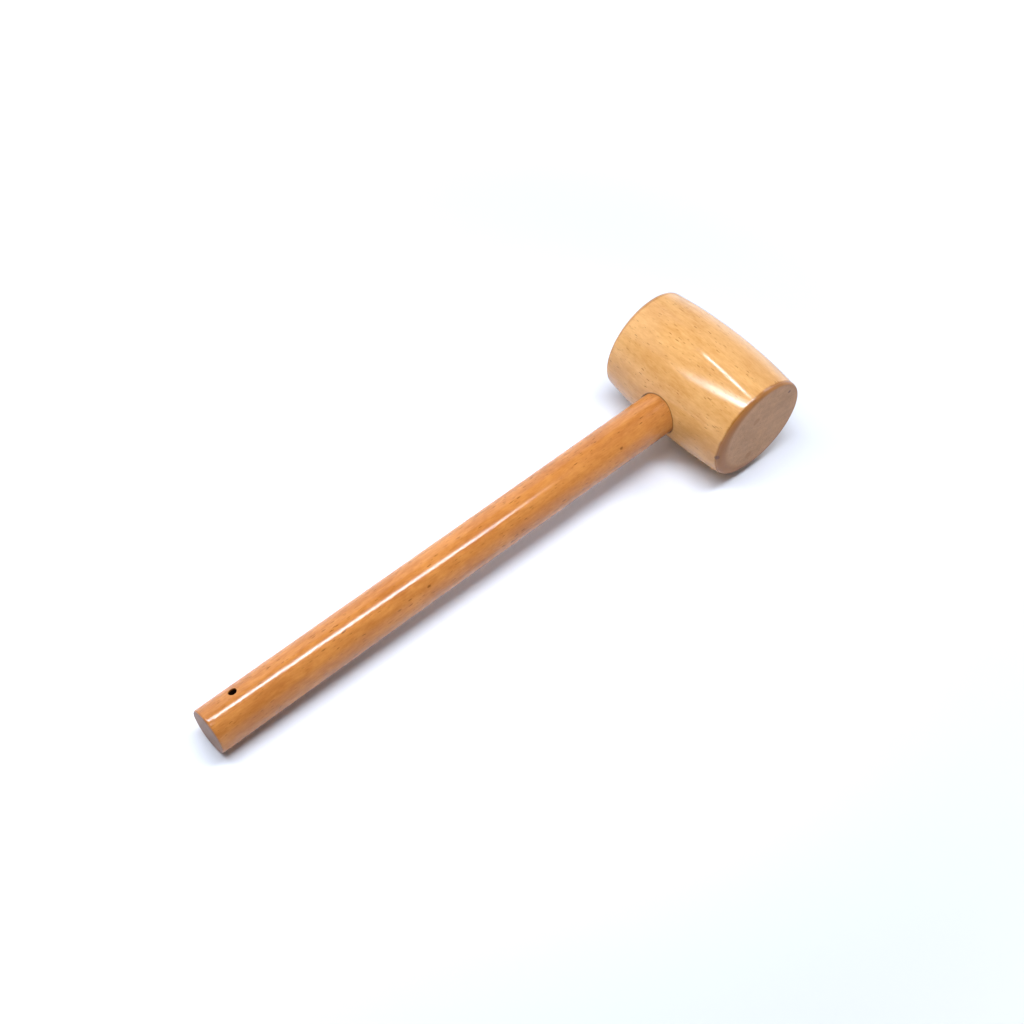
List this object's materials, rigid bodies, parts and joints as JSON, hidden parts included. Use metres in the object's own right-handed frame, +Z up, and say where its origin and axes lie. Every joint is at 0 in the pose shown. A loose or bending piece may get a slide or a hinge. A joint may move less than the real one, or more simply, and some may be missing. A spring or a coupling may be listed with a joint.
{
  "type": "wooden mallet",
  "caption": "Small wooden mallet: a barrel-shaped head on a straight round handle, wedged at the top, with a hanging hole near the butt.",
  "frame": {"origin": "on the surface the mallet lies on, under the middle of its bounding box", "axes": "+X along the handle in plan, from the butt to the head; +Y along the head, from one striking face to the other; +Z up"},
  "size_m": [0.3268, 0.08, 0.0615],
  "materials": {
    "head_wood": "pale close-grained hardwood with fine dark pores, clear gloss lacquer on the side, dull end grain on the striking faces",
    "handle_wood": "orange-brown hardwood, straight grain along the handle, clear gloss lacquer",
    "wedge_wood": "darker hardwood, bare and cut flush"
  },
  "bodies": {
    "root": {"mallet_head": "head_wood", "handle": "handle_wood", "tenon_wedge": "wedge_wood"}
  },
  "joints": []
}
